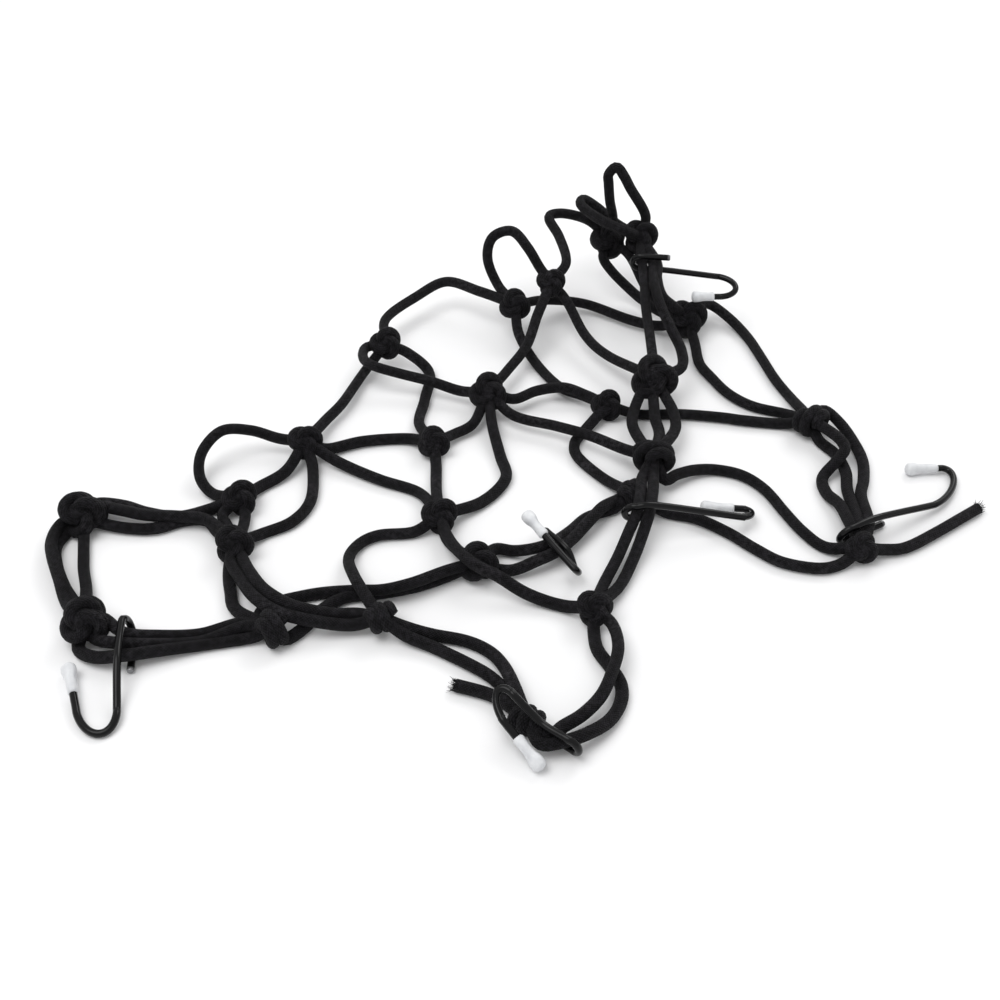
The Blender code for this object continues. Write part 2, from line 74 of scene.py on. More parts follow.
# Strands: from knot, to knot, then x, y and the height of the cord's underside along the way.
strands = [
    ("left", "leftLower", [(-163, -29, 4), (-154, -31, 4), (-144, -33.7, 4), (-132, -33.6, 3),
                           (-122, -34.5, 2.5), (-115, -40, 3)]),
    ("left", "leftUpper", [(-164, -25, 2), (-154, -25.2, 1), (-145, -28, 0), (-133, -30.5, 0),
                           (-122, -27, 0)]),
    ("left", "leftLower", [(-162, -35, 1), (-150, -37, 0), (-140, -37, 0), (-130, -33, 0), (-121, -33, 0),
                           (-115, -41, 1)]),
    ("left", "frontLeft", [(-175.2, -38, 3), (-176.3, -47, 3), (-173.4, -57, 4), (-168.7, -68, 3),
                           (-164, -78, 1)]),
    ("left", "frontLeft", [(-173.3, -39, 0), (-175.8, -47, 0), (-173.2, -57, 0), (-167.4, -68, 0),
                           (-160.4, -78, 1)]),
    ("left", "frontLeft", [(-166.4, -40, 1), (-164.5, -50, 0), (-162.4, -60, 0), (-158.4, -72, 1)]),
    ("frontLeft", "frontMiddleLeft", [(-148, -87, 3), (-139, -93.9, 3.3), (-128, -94, 2),
                                      (-114, -91.7, 0), (-100, -87.6, 1)]),
    ("frontLeft", "frontMiddleLeft", [(-149, -96, 2), (-139, -99, 3.3), (-127, -98, 2), (-113, -95, 0),
                                      (-99, -90, 2)]),
    ("frontLeft", "frontMiddleLeft", [(-155, -98.5, 0), (-148, -103.5, 1.5), (-138, -104.5, 3.3),
                                      (-126, -101.3, 2), (-112, -97, 0), (-96, -93.5, 0)]),
    ("leftUpper", "leftMiddle", [(-121, -17, 0), (-127, -10, 3), (-127, -1, 8), (-120, 7, 12),
                                 (-109, 11, 9), (-98, 11, 5)]),
    ("leftUpper", "leftMiddle", [(-103, -13, 0), (-94, -5, 1)]),
    ("leftMiddle", "leftLower", [(-83, -4, 1), (-82, -21, 0), (-88, -33, 0), (-99, -40, 0)]),
    ("leftUpper", "leftLower", [(-115, -31, 1.4), (-112, -38, 1.2)]),
    ("leftUpper", "leftLower", [(-106.5, -30, 1), (-106.5, -38, 1)]),
    ("leftLower", "frontMiddleLeft", [(-108.4, -60, 0), (-106, -70.3, 0), (-102.4, -80, 0)]),
    ("leftLower", "frontUpright", [(-107.5, -58.5, 3), (-102.5, -68, 4), (-95.4, -79.8, 6), (-86, -87, 6),
                                   (-73, -89.5, 4.5), (-60, -89, 2)]),
    ("leftLower", "frontUpright", [(-104, -56, 3), (-99, -66, 5), (-91.5, -77, 6.5), (-81, -84.5, 6.5),
                                   (-68, -86, 4.5), (-59, -84.5, 3)]),
    ("frontMiddleLeft", "middleLower", [(-83, -94, 0), (-77, -88, 0), (-72, -80, 0), (-64, -74, 0),
                                        (-52, -72, 0), (-38, -68, 0), (-26, -62, 0)]),
    ("frontMiddleLeft", "middleLower", [(-94, -82, 0), (-89, -76.5, 0), (-81, -73.5, 0), (-72, -71.5, 0),
                                        (-60, -71.5, 1), (-50, -74, 4), (-40, -71, 4.5), (-28, -64, 4)]),
    ("middle", "frontUpright", [(-41, -39, 0), (-54, -41, 0), (-61, -46, 0), (-64, -56, 2), (-61, -69, 6),
                                (-56, -79, 6)]),
    ("leftMiddle", "backLeft", [(-81, 25, 3), (-74, 38, 3), (-67, 61, 2), (-62, 67, 6)]),
    ("backLeft", "middleBack", [(-67, 70, 8), (-67, 61, 9), (-62, 54, 10), (-51, 51, 8), (-38, 48, 6),
                                (-25, 44, 4)]),
    ("backLeft", "middleLeft", [(-48, 68, 6), (-39, 62, 0), (-40, 43, 0), (-42, 27, 0)]),
    ("backLeft", "backMiddle", [(-59, 89, 10), (-47, 107, 10), (-33, 117, 12), (-17, 107, 13)]),
    ("backMiddle", "backRaised", [(-8.6, 108, 15.8), (-13.6, 115, 25.4), (-11.6, 120, 33.4),
                                  (-2.8, 121.6, 35.7), (4.6, 114, 31.6), (10.4, 109, 24)]),
    ("backMiddle", "backRight", [(13, 107.4, 8), (32, 112, 3), (52, 100.2, 2), (65, 94, 3)]),
    ("backMiddle", "middleRight", [(0.6, 83, 6), (7.6, 69.8, 0), (18, 51.5, 0.5), (27.5, 44.2, 1.2)]),
    ("backRaised", "middleBack", [(9, 88, 14), (4, 72, 8), (-5, 56, 6)]),
    ("backRaised", "topLeft", [(22, 114, 24), (19.3, 130, 27.6), (15, 141, 31.2), (20, 145, 31.4),
                               (28.5, 144, 30.6), (35, 139, 30)]),
    ("backRaised", "rightBack", [(21.6, 98.6, 14), (29.6, 80.6, 8), (39.6, 65.4, 7)]),
    ("middleBack", "middleRight", [(-2, 38.6, 4), (8, 44.4, 4), (19, 45.2, 5), (28, 42.6, 3)]),
    ("middleBack", "rightMiddle", [(-2, 27.2, 4), (15, 20.2, 4), (29, 11.2, 6), (42, 1.6, 7)]),
    ("middleBack", "middle", [(-11, 22, 3), (-8, 6, 0), (-6, -8, 0), (-15, -22, 0)]),
    ("middleBack", "middleLeft", [(-19, 25, 2), (-27, 19, 1)]),
    ("middleLeft", "leftMiddle", [(-47, 17, 0), (-64, 15, 0), (-78, 9, 1)]),
    ("middleLeft", "middle", [(-34, 1, 0), (-33, -15, 0)]),
    ("middle", "leftMiddle", [(-40, -17, 0), (-56, -9, 0), (-73, 1, 1)]),
    ("middle", "middleLower", [(-28, -43, 0), (-22, -51, 0)]),
    ("middle", "frontRight", [(-28, -45, 4), (-24, -56, 7), (-17, -66, 9), (-9, -69, 6.5), (2, -74, 2),
                              (14, -78, 0)]),
    ("middleLower", "rightSmall", [(-10, -49.5, 1), (-3, -50, 0.5), (5, -51.5, 3.2), (12.3, -48.3, 3.4),
                                   (19, -41, 2), (26, -31, 0), (36, -26, 0)]),
    ("middleLower", "rightSmall", [(-10, -59, 0), (-3, -60.5, 1), (5, -58, 3), (12.6, -53.5, 3.4),
                                   (20, -45.5, 3), (27, -36.5, 4), (32, -29, 3.5), (38, -22, 1)]),
    ("middleRight", "rightSmall", [(27.4, 22.4, 0), (23, 14, 0), (24, 5, 0), (33.4, -8.4, 0)]),
    ("middleRight", "right", [(51, 33, 0), (68, 33, 0), (85, 31, 0), (95, 29, 0), (110, 27, 0)]),
    ("rightBack", "rightMiddle", [(50.5, 35.5, 8), (47.2, 26.5, 6), (46.4, 18, 6), (49, 8.5, 6)]),
    ("rightBack", "rightMiddle", [(56, 33, 8), (56, 23, 6), (57, 12, 6)]),
    ("rightBack", "rightMiddle", [(61.2, 35, 8), (64, 25, 6), (63, 13.5, 6)]),
    ("topRight", "rightBack", [(56.2, 111, 26.6), (56.2, 98, 24), (56.2, 84, 21), (57, 68, 17)]),
    ("topRight", "rightBack", [(60.5, 111, 26.6), (60.5, 96, 26), (62.3, 82, 23), (66, 71, 18),
                               (70, 61, 13), (69, 51, 11)]),
    ("topLeft", "backRight", [(40, 127, 19), (44, 123, 14), (51, 121, 7), (58, 114, 4), (67, 103, 4)]),
    ("topLeft", "backRight", [(52, 123, 22), (59, 107, 14), (68, 97, 10)]),
    ("topRight", "backRight", [(62.8, 110.5, 26.6), (62, 99, 25), (64, 91, 21), (70, 91.5, 15)]),
    ("topLeft", "topRight", [(44.5, 138, 32), (42.3, 138, 42), (41.3, 138, 51), (41.2, 138, 55.6),
                             (44.7, 137, 59.6), (48.3, 136, 55.6), (51.5, 135, 50), (58.6, 131.5, 38.3)]),
    ("topRight", "topRight", [(50, 120.5, 36), (41, 126, 37), (33.5, 135, 37), (29.3, 142, 38),
                              (31.3, 146.5, 38), (38, 146, 34), (47, 140, 29)]),
    ("backRight", "right", [(84, 104, 8), (90, 107.6, 5), (98, 101.8, 1.5), (104, 90, 0), (108, 74, 0),
                            (112, 58.4, 0), (117, 44, 0)]),
    ("backRight", "right", [(79.2, 81, 2), (80.4, 69.4, 0), (84.6, 58.7, 0), (90.5, 47, 0),
                            (99.3, 38.8, 0), (112, 34, 0)]),
    ("right", "farRight", [(127.5, 29.6, 5), (133, 23.8, 3), (136.9, 14, 1), (138.9, 3, 0),
                           (137.2, -9, 0), (133.8, -20, 1), (132.3, -38, 3.3)]),
    ("right", "farRight", [(124, 18, 6), (128.7, 9.3, 7), (130.7, 3.3, 6), (127, -2, 4), (121, -8, 0),
                           (121, -17, 0), (124, -26, 2), (125, -37, 3.3)]),
    ("right", "farRight", [(123.5, 16, 0), (129, 7, 0), (131, -4, 0), (129, -17, 0.5),
                           (128.5, -38, 3.3)]),
    ("rightMiddle", "farRight", [(57, -12.5, 3), (62.5, -8.6, 2.4), (70, -4.4, 1.2), (79, -2.6, 0),
                                 (88.8, -6, 0), (96.4, -14.6, 0), (102.4, -28, 0), (108.2, -39.7, 0),
                                 (115, -47.8, 0)]),
    ("rightSmall", "farRight", [(56, -27.6, 0), (68, -31.7, 0), (79, -39.7, 0), (88, -48.7, 0),
                                (97, -55.7, 0), (110, -58.7, 0), (119, -56.5, 0)]),
    ("rightMiddle", "frontRight", [(47.6, -16, 7), (46.4, -26, 8.5), (44, -38, 8.6), (39.8, -47, 6),
                                   (35.4, -56, 3), (30, -68, 2)]),
    ("rightMiddle", "frontRight", [(51.8, -16, 7), (50.8, -26, 8.5), (48.7, -38, 8.6), (45.4, -47, 5),
                                   (41.4, -56, 2), (35.2, -69, 1)]),
    ("frontRight", "front", [(31.5, -90, 3), (32.5, -102, 5), (30, -113, 5), (26, -123, 4.5),
                             (19.5, -130.5, 3.7), (12.5, -135.5, 3.4), (8, -139.2, 3.4)]),
    ("frontRight", "front", [(25.2, -90.5, 0), (26.2, -99, 0), (30, -107, 0), (33, -115, 0),
                             (32.2, -122.7, 0), (27.8, -131, 1), (20.3, -138, 3.3), (12, -141.3, 3.3),
                             (5, -142, 3.4)]),
    ("frontUpright", "front", [(-42, -90, 2.5), (-32, -92, 0.5), (-20, -95, 0), (-12, -100, 0),
                               (-7, -108, 1.5), (-3, -119, 3)]),
    ("frontUpright", "front", [(-41, -94, 1.5), (-31, -98, 0), (-19, -105, 0), (-11, -111, 0),
                               (-5, -119, 0)]),
    ("farRight", None, [(136, -50, 1), (145, -48, 0), (158, -40, 0), (178, -26, 0)]),
    ("front", None, [(-6, -124, 1), (-12, -119, 0), (-23, -115, 0)]),
]

# Hooks: middle of the eye, width of cord it grips, over (1) or under (-1) the cord, side of the wire's
# end and how far it reaches past the grip, start, middle and end of the bend, tip, length of the cap.
hooks = [
    ((-139, -99.5, 5.5), 17.2, 1, 1, 0.5, (-136, -124, 3), (-140, -135, 1.5), (-150, -124, 2.5),
     (-156, -108, 3.5), 12),
    ((59.7, 111, 28.8), 11, -1, -1, 3.5, (89, 107.8, 23), (98, 100, 22), (89, 95.5, 20), (79, 95.5, 20), 9),
    ((12.5, -50.9, 5.6), 11.4, 1, 1, 0.5, (19.5, -60, 3.5), (20.5, -65, 6.5), (17.5, -66, 11.5),
     (2, -42.5, 14), 12),
    ((46.2, -38.6, 10.8), 9.6, 1, 1, 0, (83, -36.3, 7.5), (88.8, -31.6, 4.5), (86, -26.5, 2.6),
     (71, -25.6, 2.7), 12),
    ((128.6, -42.6, 5.5), 13.4, 1, 1, 7.5, (158.5, -26.5, 4), (172.3, -11.2, 2), (168, -2.2, 2.5),
     (156, -3, 2.6), 12),
    ((10.6, -141.2, 5.6), 10.6, 1, -1, 0, (-3, -130.5, 15), (-9, -128, 14), (-6.3, -137, 9.5),
     (5, -149, 2.6), 12),
]


def evenPath(fine, step):
    # The same path read again at even steps of its length.
    along = np.concatenate([[0], np.cumsum(np.linalg.norm(np.diff(fine, axis=0), axis=1))])
    wanted = np.linspace(0, along[-1], max(3, round(along[-1] / step)) + 1)
    return np.stack([np.interp(wanted, along, fine[:, k]) for k in range(3)], 1)


curveSteps = 24  # points that a curve gets between two points of its route


def smoothPath(points, step):
    # Catmull-Rom: between b and c the path has b's slope (c - a) / 2 and c's slope (d - b) / 2.
    points = np.asarray(points, float)
    padded = np.vstack([2 * points[0] - points[1], points, 2 * points[-1] - points[-2]])
    a, b, c, d = (padded[i:len(padded) - 3 + i, None] for i in range(4))
    t = np.linspace(0, 1, curveSteps, endpoint=False)[None, :, None]
    fine = 0.5 * (2 * b + t * (c - a) + t**2 * (2 * a - 5 * b + 4 * c - d) + t**3 * (3 * b - a - 3 * c + d))
    return evenPath(np.vstack([fine.reshape(-1, 3), points[-1:]]), step)


def unit(vectors):
    return vectors / np.maximum(np.linalg.norm(vectors, axis=-1, keepdims=True), 1e-9)


def sweep(path, radius, sides, closed=False, reference=None):
    # A tube: each point plus radius times (cos a * side + sin a * above), both square to the path.
    # The side is the path's direction crossed with the direction that it follows least.
    ahead = np.roll(path, -1, 0) - np.roll(path, 1, 0) if closed else np.gradient(path, axis=0)
    ahead = unit(ahead)
    if reference is None:
        reference = np.linalg.eigh(ahead.T @ ahead)[1][:, 0]
        reference = reference * (1 if reference[2] >= 0 else -1)
    side = unit(np.cross(ahead, reference))
    above = np.cross(side, ahead)
    angles = 2 * math.pi * np.arange(sides) / sides
    ring = np.cos(angles)[None, :, None] * side[:, None] + np.sin(angles)[None, :, None] * above[:, None]
    return path[:, None] + np.broadcast_to(radius, len(path))[:, None, None] * ring


def cordUV(path, radius, sides, start=0.0):
    # Along the cord in turns of its girth, and once round it.
    along = np.concatenate([[0], np.cumsum(np.linalg.norm(np.diff(path, axis=0), axis=1))])
    u = start + along / (2 * math.pi * radius)
    v = np.arange(sides + 1) / sides
    return np.stack(np.broadcast_arrays(u[:, None], v[None, :]), -1)


def buildPiece(name, grids, material, smoothAngle=None):
    # grids: (points, uv, closed) with points in millimetres on a grid of rings. Quads join the rings,
    # and each open end is one flat face.
    points, corners, starts, uvs = [], [], [], []
    base = loopBase = 0
    for grid, uv, closed in grids:
        n, m = grid.shape[:2]
        index = base + np.arange(n * m).reshape(n, m)
        index = np.hstack([index, index[:, :1]])
        if closed:
            index = np.vstack([index, index[:1]])
            uv = np.vstack([uv, uv[:1] + (uv[-1:] - uv[-2:-1]) + (uv[-1:] - uv[:1]) * [1, 0]])
        quad = np.stack([index[:-1, :-1], index[1:, :-1], index[1:, 1:], index[:-1, 1:]], -1)
        quadUV = np.stack([uv[:-1, :-1], uv[1:, :-1], uv[1:, 1:], uv[:-1, 1:]], -2)
        corners.append(quad.ravel())
        uvs.append(quadUV.reshape(-1, 2))
        starts.append(loopBase + 4 * np.arange(quad.shape[0] * quad.shape[1]))
        loopBase += quad.size
        if not closed:
            for ring, ringUV in ((index[0, :-1], uv[0, :-1]), (index[-1, :-1][::-1], uv[-1, :-1][::-1])):
                corners.append(ring)
                uvs.append(ringUV)
                starts.append(np.array([loopBase]))
                loopBase += m
        points.append(grid.reshape(-1, 3))
        base += n * m
    points = np.concatenate(points) * mm
    corners = np.concatenate(corners)
    starts = np.concatenate(starts)
    mesh = bpy.data.meshes.new(name)
    mesh.vertices.add(len(points))
    mesh.vertices.foreach_set("co", points.astype(np.float32).ravel())
    mesh.loops.add(len(corners))
    mesh.loops.foreach_set("vertex_index", corners.astype(np.int32))
    mesh.polygons.add(len(starts))
    mesh.polygons.foreach_set("loop_start", starts.astype(np.int32))
    mesh.update(calc_edges=True)
    layer = mesh.uv_layers.new(name="along")
    layer.data.foreach_set("uv", np.concatenate(uvs).astype(np.float32).ravel())
    mesh.shade_smooth()
    if smoothAngle:
        mesh.set_sharp_from_angle(angle=math.radians(smoothAngle))
    piece = bpy.data.objects.new(name, mesh)
    bpy.context.scene.collection.objects.link(piece)
    piece.data.materials.append(material)
    return piece


class Wire:
    # A shader socket that takes part in Python sums.
    def __init__(self, tree, socket):
        self.tree = tree
        self.socket = socket

    def math(self, operation, first, second=None):
        values = [first] if second is None else [first, second]
        return addNode(self.tree, "ShaderNodeMath", {"operation": operation}, dict(enumerate(values)))

    def __add__(self, other):
        return self.math("ADD", self, other)

    def __radd__(self, other):
        return self.math("ADD", other, self)

    def __sub__(self, other):
        return self.math("SUBTRACT", self, other)

    def __rsub__(self, other):
        return self.math("SUBTRACT", other, self)

    def __mul__(self, other):
        return self.math("MULTIPLY", self, other)

    def __rmul__(self, other):
        return self.math("MULTIPLY", other, self)

    def sine(self):
        return self.math("SINE", self)

    def size(self):
        return self.math("ABSOLUTE", self)

    def clamped(self):
        return self.math("MINIMUM", self.math("MAXIMUM", self, 0), 1)

    def ramp(self, gain, start):
        return (self * gain - start).clamped()


def addNode(tree, kind, settings=None, sockets=None, output=0):
    # Any node: its settings first, then a value or a link for each socket.
    node = tree.nodes.new(kind)
    for key, value in (settings or {}).items():
        setattr(node, key, value)
    for key, value in (sockets or {}).items():
        if isinstance(value, Wire):
            tree.links.new(value.socket, node.inputs[key])
        else:
            node.inputs[key].default_value = value
    return Wire(tree, node.outputs[output])


def mixColor(tree, share, first, second):
    return addNode(tree, "ShaderNodeMix", {"data_type": "RGBA"}, {0: share, 6: first, 7: second}, 2)


def noise(tree, place, scale, detail):
    return addNode(tree, "ShaderNodeTexNoise", {}, {"Vector": place, "Scale": scale, "Detail": detail})


def bumpFrom(tree, height, depth, strength):
    return addNode(tree, "ShaderNodeBump", {}, {"Height": height, "Distance": depth, "Strength": strength})


def cordPlace(tree):
    # From the piece's own map: along it in turns of its girth, and once round it.
    uv = addNode(tree, "ShaderNodeUVMap", {"uv_map": "along"})
    along = addNode(tree, "ShaderNodeSeparateXYZ", {}, {0: uv})
    return along, Wire(tree, along.socket.node.outputs[1])


def objectPlace(tree):
    return addNode(tree, "ShaderNodeTexCoord", output=3)


def startMaterial(name):
    material = bpy.data.materials.new(name)
    material.use_nodes = True
    shader = material.node_tree.nodes["Principled BSDF"]
    return material, material.node_tree, shader


def setShader(tree, shader, sockets):
    for key, value in sockets.items():
        if isinstance(value, Wire):
            tree.links.new(value.socket, shader.inputs[key])
        else:
            shader.inputs[key].default_value = value


# In a look each noise is its scale, in patterns to the metre, and its detail. A ramp is its gain and
# what is taken off, a bump is its depth in metres and its strength.
cordLook = {"dark": (0.0006, 0.0005, 0.0008, 1), "light": (0.0155, 0.0142, 0.0178, 1),
            "dust": (0.033, 0.0315, 0.0345, 1), "rough": 0.6, "roughSpread": 0.25, "specular": 0.13,
            "sheen": 0.02, "sheenRough": 0.5, "yarns": 14, "braid": 0.9,
            "patches": (60.0, 3.0), "mottle": (650.0, 3.0), "fibres": (2600.0, 2.0),
            "plaitShade": 0.6, "fibreTone": 0.5, "patchTone": 0.4, "mottleTone": 2.0, "toneStart": 1.38,
            "patchRamp": (4, 2.1), "mottleRamp": (4, 1.8),
            "plaitHeight": 0.8, "fibreHeight": 0.35, "bump": (0.0005, 0.9)}


def makeCordMaterial():
    # Braided sheath: two families of yarn, each at about 45 degrees to the cord, with mottled tone,
    # fine fibres, painted shade in the gaps between the yarns, and a little dust where both slow patterns
    # are high.
    material, tree, shader = startMaterial("braidedCord")
    look = cordLook
    along, around = cordPlace(tree)
    yarns = look["yarns"] * math.pi
    leftYarn = ((along * look["braid"] + around) * yarns).sine().size()
    rightYarn = ((along * look["braid"] - around) * yarns).sine().size()
    plait = leftYarn * rightYarn
    place = objectPlace(tree)
    patches = noise(tree, place, *look["patches"])
    mottle = noise(tree, place, *look["mottle"])
    fibres = noise(tree, place, *look["fibres"])
    # The plait term is painted shade: it darkens the colour in the gaps between the yarns. The other terms
    # are random tone.
    toneAndShade = (plait * look["plaitShade"] + fibres * look["fibreTone"] + patches * look["patchTone"]
            + mottle * look["mottleTone"] - look["toneStart"]).clamped()
    dusty = patches.ramp(*look["patchRamp"]) * mottle.ramp(*look["mottleRamp"])
    base = mixColor(tree, toneAndShade, look["dark"], look["light"])
    height = plait * look["plaitHeight"] + fibres * look["fibreHeight"]
    setShader(tree, shader, {
        "Base Color": mixColor(tree, dusty, base, look["dust"]),
        "Roughness": (fibres * look["roughSpread"] + look["rough"]).clamped(),
        "Specular IOR Level": look["specular"],
        "Sheen Weight": look["sheen"],
        "Sheen Roughness": look["sheenRough"],
        "Normal": bumpFrom(tree, height, *look["bump"]),
    })
    return material


wireLook = {"paint": (0.002, 0.002, 0.0023, 1), "paintLight": (0.005, 0.005, 0.0055, 1),
            "steel": (0.3, 0.3, 0.31, 1), "rough": 0.07, "roughSpread": 0.2, "specular": 0.2,
            "bareFade": 6.0, "bareLift": 0.4, "peel": (900.0, 2.0), "smears": (130.0, 3.0),
            "bump": (0.00003, 0.5)}


def makeWireMaterial():
    # Glossy black coating with a slight orange peel, and bare steel that fades out from the cut end.
    material, tree, shader = startMaterial("coatedWire")
    look = wireLook
    along = cordPlace(tree)[0]
    place = objectPlace(tree)
    peel = noise(tree, place, *look["peel"])
    smears = noise(tree, place, *look["smears"])
    bare = (1.0 - along * look["bareFade"]).clamped() * (smears + look["bareLift"]).clamped()
    base = mixColor(tree, smears, look["paint"], look["paintLight"])
    setShader(tree, shader, {
        "Base Color": mixColor(tree, bare, base, look["steel"]),
        "Metallic": bare,
        "Roughness": (smears * look["roughSpread"] + look["rough"]).clamped(),
        "Specular IOR Level": look["specular"],
        "Normal": bumpFrom(tree, peel, *look["bump"]),
    })
    return material


capLook = {"pale": (0.72, 0.73, 0.74, 1), "shade": (0.56, 0.57, 0.59, 1), "rough": 0.28, "roughSpread": 0.3,
           "dents": (420.0, 2.0), "clouds": (240.0, 3.0), "cloudRamp": (2.4, 0.7), "bump": (0.0003, 0.6),
           "glow": 0.25, "glowDepth": 0.002}


def makeCapMaterial():
    # Soft, waxy plastic that lets a little light in, with dents and cloudy tone.
    material, tree, shader = startMaterial("softCap")
    look = capLook
    place = objectPlace(tree)
    dents = noise(tree, place, *look["dents"])
    cloudy = noise(tree, place, *look["clouds"]).ramp(*look["cloudRamp"])
    setShader(tree, shader, {
        "Base Color": mixColor(tree, cloudy, look["pale"], look["shade"]),
        "Roughness": (dents * look["roughSpread"] + look["rough"]).clamped(),
        "Subsurface Weight": look["glow"],
        "Subsurface Radius": (look["glowDepth"],) * 3,
        "Subsurface Scale": 1.0,
        "Normal": bumpFrom(tree, dents, *look["bump"]),
    })
    return material


cord = {"radius": 2.25, "sides": 14, "step": 1.3, "rootOverlap": 2.0, "swell": 0.04, "wander": 0.25,
        "driftLengths": (9.0, 13.0, 21.0), "driftEase": 12, "sharpAngle": 50, "seed": 4}


def floorClamped(grid):
    # Cord pressed flat where it meets the surface.
    grid[..., 2] = np.maximum(grid[..., 2], 0.0)
    return grid


def knotPoint(name):
    return np.array(knots[name][:3], float)


def strandPath(start, end, via):
    # From inside the first knot through the points of the route, and into the last knot if there is one.
    points = [np.array((x, y, z + cord["radius"]), float) for x, y, z in via]
    first = knotPoint(start)
    points.insert(0, first + unit(points[0] - first) * cord["rootOverlap"])
    if end:
        last = knotPoint(end)
        points.append(last + unit(points[-1] - last) * cord["rootOverlap"])
    return smoothPath(points, cord["step"])


def makeStrands(material):
    rng = np.random.default_rng(cord["seed"])
    grids = []
    for strand in strands:
        path = strandPath(*strand)
        along = np.arange(len(path)) * cord["step"]
        phase = rng.uniform(0, 2 * math.pi, 4)
        # Soft cord is never quite even: its thickness and line drift a little along it.
        drift = np.sin(along[:, None] / cord["driftLengths"] + phase[:3])
        ends = np.minimum(1, np.minimum(along, along[::-1]) / cord["driftEase"])
        path[:, 0] += cord["wander"] * drift[:, 0] * ends
        path[:, 1] += cord["wander"] * drift[:, 1] * ends
        radius = cord["radius"] * (1 + cord["swell"] * drift[:, 2])
        grid = floorClamped(sweep(path, radius, cord["sides"]))
        grids.append((grid, cordUV(path, cord["radius"], cord["sides"], phase[3]), False))
    piece = buildPiece("netStrands", grids, material, cord["sharpAngle"])
    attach(piece, "root")
    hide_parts("net")
    print("strands:", len(grids), "with", len(piece.data.polygons), "faces")


# Round knots of three lobes: direction of the first lobe, lean of the face to the front, in degrees,
# and how many cords lie side by side.
roundKnots = {
    "frontLeft": (90, 50, 2),
    "left": (130, 50, 2),
    "leftUpper": (60, 45, 1),
    "leftLower": (0, 45, 1),
    "leftMiddle": (30, 48, 1),
    "backLeft": (60, 48, 1),
    "middleLeft": (95, 48, 1),
    "middle": (40, 48, 1),
    "middleLower": (100, 48, 1),
    "middleBack": (80, 48, 2),
    "backMiddle": (90, 48, 1),
    "backRaised": (30, 48, 1),
    "middleRight": (60, 48, 1),
    "frontRight": (20, 48, 1),
    "rightBack": (100, 50, 2),
    "topLeft": (50, 50, 2),
    "topRight": (10, 50, 2),
    "backRight": (20, 50, 2),
    "farRight": (70, 48, 1),
}

# Knots that show as a coil: direction of the coil's axis in degrees, and number of wraps.
coiledKnots = {
    "frontMiddleLeft": (30, 2),
    "frontUpright": (15, 2),
    "front": (140, 2),
    "rightMiddle": (90, 2),
    "rightSmall": (30, 2),
    "right": (130, 2),
}

# Shares are of the knot's width, or of its reach, which is from its middle to the middle of its cord.
knotForm = {"radius": 2.3, "sides": 14, "points": 150, "ringShare": 0.64, "coilShare": 0.36,
            "squeeze": 1.15, "besideShift": 1.5, "spacing": 0.94, "extraTurn": 0.35, "diveTurn": 0.3,
            "diveShare": 0.3, "flatten": 0.85, "pointsPerWrap": 46, "coreSteps": 9, "coreLength": 0.28,
            "coreWidth": 0.3, "coreEnd": 0.01}


def lobedKnot(across, lobe, lean):
    # A tight overhand knot: the cord goes twice round a ring while it winds round it three times. Each
    # point is outward * (ring + coil * cos 3t), raised by coil * squeeze * sin 3t.
    t = 2 * math.pi * np.arange(knotForm["points"]) / knotForm["points"]
    reach = across / 2 - knotForm["radius"]
    ring = reach * knotForm["ringShare"]
    coil = reach * knotForm["coilShare"]
    outward = np.stack([np.cos(2 * t), np.sin(2 * t), 0 * t], 1)
    path = (ring + coil * np.cos(3 * t))[:, None] * outward
    path[:, 2] = coil * knotForm["squeeze"] * np.sin(3 * t)
    reference = path - ring * outward
    return turned(path, lobe, lean), turned(reference, lobe, lean)


def turned(points, lobe, lean):
    # Turned about its own axis by the lobe's direction, then leant with its face to the front.
    a, b = math.radians(lobe), math.radians(lean)
    spin = np.array(((math.cos(a), -math.sin(a), 0), (math.sin(a), math.cos(a), 0), (0, 0, 1)))
    tip = np.array(((1, 0, 0), (0, math.cos(b), -math.sin(b)), (0, math.sin(b), math.cos(b))))
    return points @ spin.T @ tip.T


def coiledKnot(across, turn, wraps):
    # Turns of a coil round the bundle: along the axis by its share of the length, and round it by
    # reach * (cos angle * side + flatten * sin angle * up). The reach shrinks where the ends dive in.
    a = math.radians(turn)
    axis = np.array((math.cos(a), math.sin(a), 0))
    side = np.cross(up, axis)
    turns = wraps + knotForm["extraTurn"]
    angle = np.linspace(0, 2 * math.pi * turns, knotForm["pointsPerWrap"] * wraps)
    pitch = 2 * knotForm["radius"] * knotForm["spacing"]
    share = angle / angle[-1]
    dive = np.clip(np.minimum(share, 1 - share) * turns / knotForm["diveTurn"], knotForm["diveShare"], 1)
    reach = (across / 2 - knotForm["radius"]) * dive
    return (axis * ((share - 0.5) * pitch * wraps)[:, None]
            + side * (reach * np.cos(angle))[:, None]
            + up * (reach * knotForm["flatten"] * np.sin(angle))[:, None])


def knotCore(centre, normal, across, beside):
    # The turns inside the knot show only as a dark filling between its lobes: an egg along its normal.
    s = np.linspace(-1, 1, knotForm["coreSteps"])
    spread = knotForm["radius"] * knotForm["besideShift"] / 2 * (beside - 1)
    path = centre + normal * (s * (across * knotForm["coreLength"] + spread))[:, None]
    return path, across * knotForm["coreWidth"] * np.sqrt(np.maximum(1 - s**2, knotForm["coreEnd"]))


